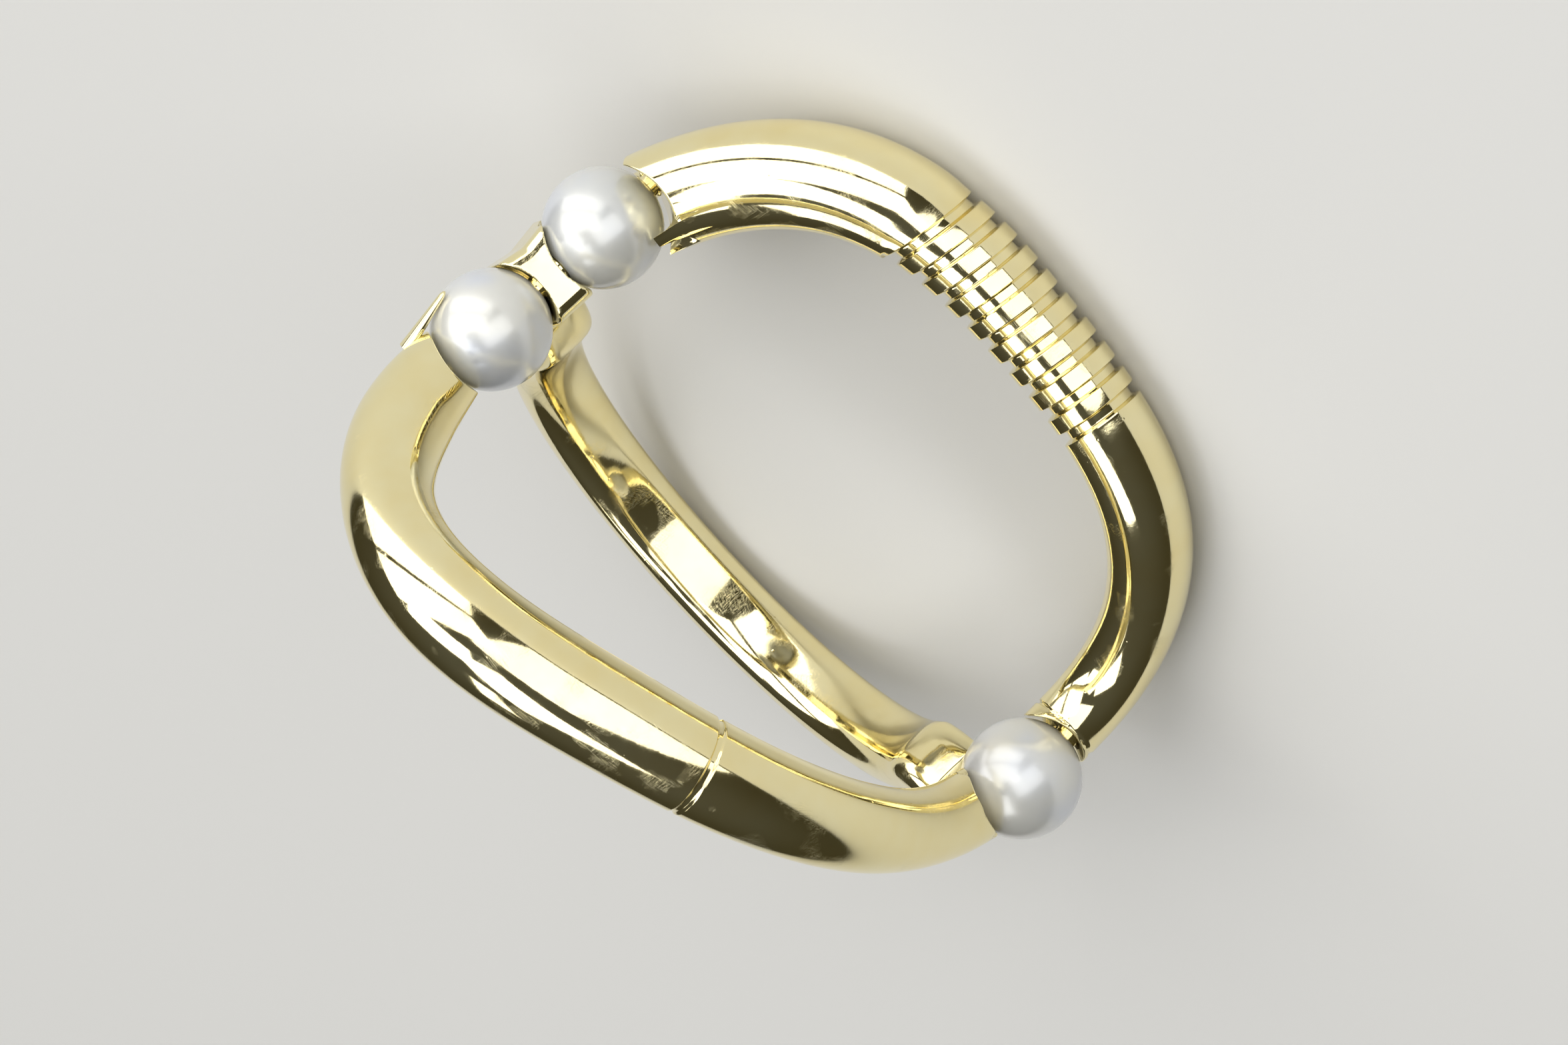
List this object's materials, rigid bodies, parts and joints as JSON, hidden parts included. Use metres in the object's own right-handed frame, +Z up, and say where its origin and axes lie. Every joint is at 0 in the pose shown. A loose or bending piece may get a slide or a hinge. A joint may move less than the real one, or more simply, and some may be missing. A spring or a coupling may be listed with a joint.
{
  "type": "pearl ring",
  "caption": "Yellow gold ring with an open, rounded frame of tapering tube, ribbed along one side and set with pearls between the tubes' ends.",
  "frame": {"origin": "on the surface that the ring lies on, under the middle of its bounding box", "axes": "+Z up from the surface; +X across the band's bore, towards the paired pearls, and the longest side; -Y towards the open frame's face, which leans back 27 degrees from upright; the ribbed tube lies below"},
  "size_m": [0.0266, 0.0248, 0.0207],
  "materials": {
    "polished_gold": "polished yellow gold",
    "nacre": "lustrous nacre"
  },
  "bodies": {
    "root": {"gold_mount": "polished_gold", "pearl_ribbed_side": "nacre", "pearl_plain_side": "nacre", "pearl_single": "nacre"}
  },
  "joints": []
}
